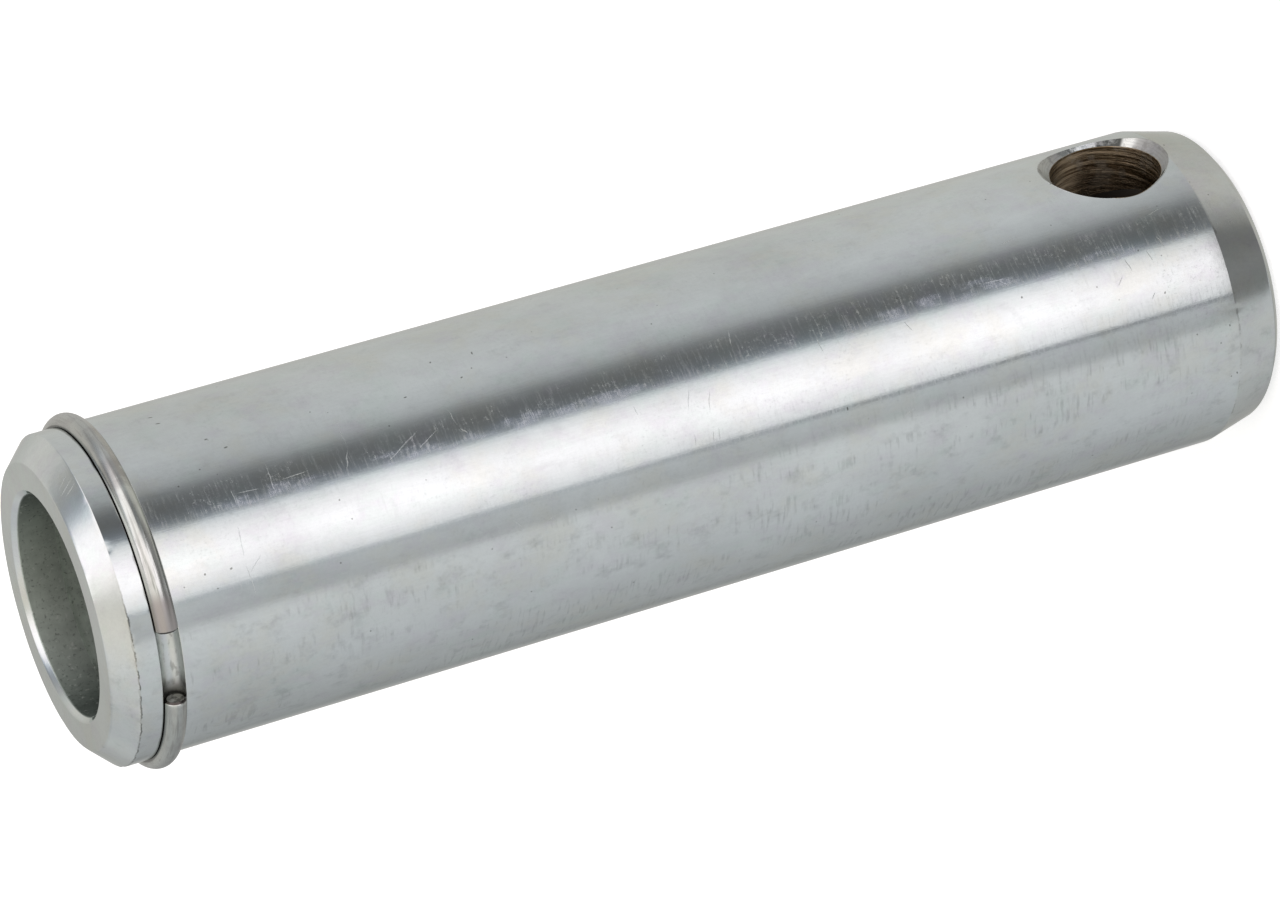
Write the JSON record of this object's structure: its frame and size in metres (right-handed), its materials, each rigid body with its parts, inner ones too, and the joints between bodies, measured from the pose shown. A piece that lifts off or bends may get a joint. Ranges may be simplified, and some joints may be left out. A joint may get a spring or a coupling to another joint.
{
  "type": "hollow cross-drilled pin with snap ring",
  "caption": "Hollow steel hinge pin with a wire snap ring near one end and a tapered, cross-drilled lead-in at the other.",
  "frame": {"origin": "centre of the bore at the tapered end's face, which the pin stands on", "axes": "+Z along the bore towards the ringed end, +X along the cross hole, and the ring's gap lies near -Y"},
  "size_m": [0.032, 0.0318, 0.115],
  "materials": {
    "zinc_plated_steel": "bright zinc plate over a drawn tube, with light scuffs",
    "spring_wire": "drawn spring wire, warm grey"
  },
  "bodies": {
    "root": {"pin_body": "zinc_plated_steel", "snap_ring": "spring_wire"}
  },
  "joints": []
}
